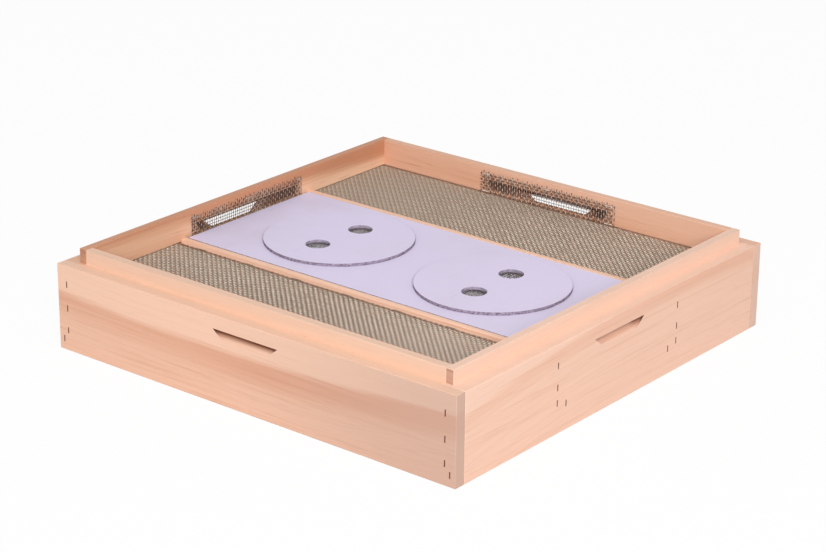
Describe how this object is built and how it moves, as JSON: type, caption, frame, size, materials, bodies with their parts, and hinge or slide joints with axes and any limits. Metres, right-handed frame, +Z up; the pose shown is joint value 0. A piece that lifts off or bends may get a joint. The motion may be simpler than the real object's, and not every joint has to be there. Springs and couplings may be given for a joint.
{
  "type": "hive top feeder",
  "caption": "Square wooden hive top feeder with a stacking lip, sloping screened vents, woven wire bays and a covered middle syrup trough under loose round lids.",
  "frame": {"origin": "middle of the underside, on the plane that the box stands on", "axes": "+X right along the front board, +Y from the front board to the back, +Z up"},
  "size_m": [0.5004, 0.5004, 0.105],
  "materials": {
    "wall_wood": "planed bare softwood, pale with pink heartwood streaks",
    "rail_wood": "planed bare softwood, pale and straight-grained",
    "trough_wood": "planed bare softwood, slightly darker",
    "coated_sheet": "hardboard with a smooth pale lilac coat and dark sawn edges",
    "screen_wire": "dull galvanised woven wire",
    "staple_wire": "dull dark staple wire"
  },
  "bodies": {
    "box": {"front_wall": "wall_wood", "back_wall": "wall_wood", "left_wall": "wall_wood", "right_wall": "wall_wood", "front_rail": "rail_wood", "back_rail": "rail_wood", "front_trough_wall": "trough_wood", "back_trough_wall": "trough_wood", "front_cleat": "trough_wood", "back_cleat": "trough_wood", "trough_floor": "trough_wood", "front_bay_screen": "screen_wire", "middle_screen": "screen_wire", "back_bay_screen": "screen_wire", "front_vent_screen": "screen_wire", "back_vent_screen": "screen_wire", "left_vent_screen": "screen_wire", "right_vent_screen": "screen_wire", "corner_staples": "staple_wire", "rail_staples": "staple_wire", "trough_staples": "staple_wire", "floor_staples": "staple_wire", "bay_screen_tacks": "staple_wire", "vent_screen_tacks": "staple_wire"},
    "cover_board": {"cover_board": "coated_sheet"},
    "left_lid": {"left_lid": "coated_sheet"},
    "right_lid": {"right_lid": "coated_sheet"}
  },
  "joints": [
    {"name": "board_lift", "type": "slide", "parent": "box", "child": "cover_board", "axis": [0, 0, 1], "range_m": [0, 0.06]},
    {"name": "left_lid_lift", "type": "slide", "parent": "cover_board", "child": "left_lid", "axis": [0, 0, 1], "range_m": [0, 0.06]},
    {"name": "right_lid_lift", "type": "slide", "parent": "cover_board", "child": "right_lid", "axis": [0, 0, 1], "range_m": [0, 0.06]}
  ]
}
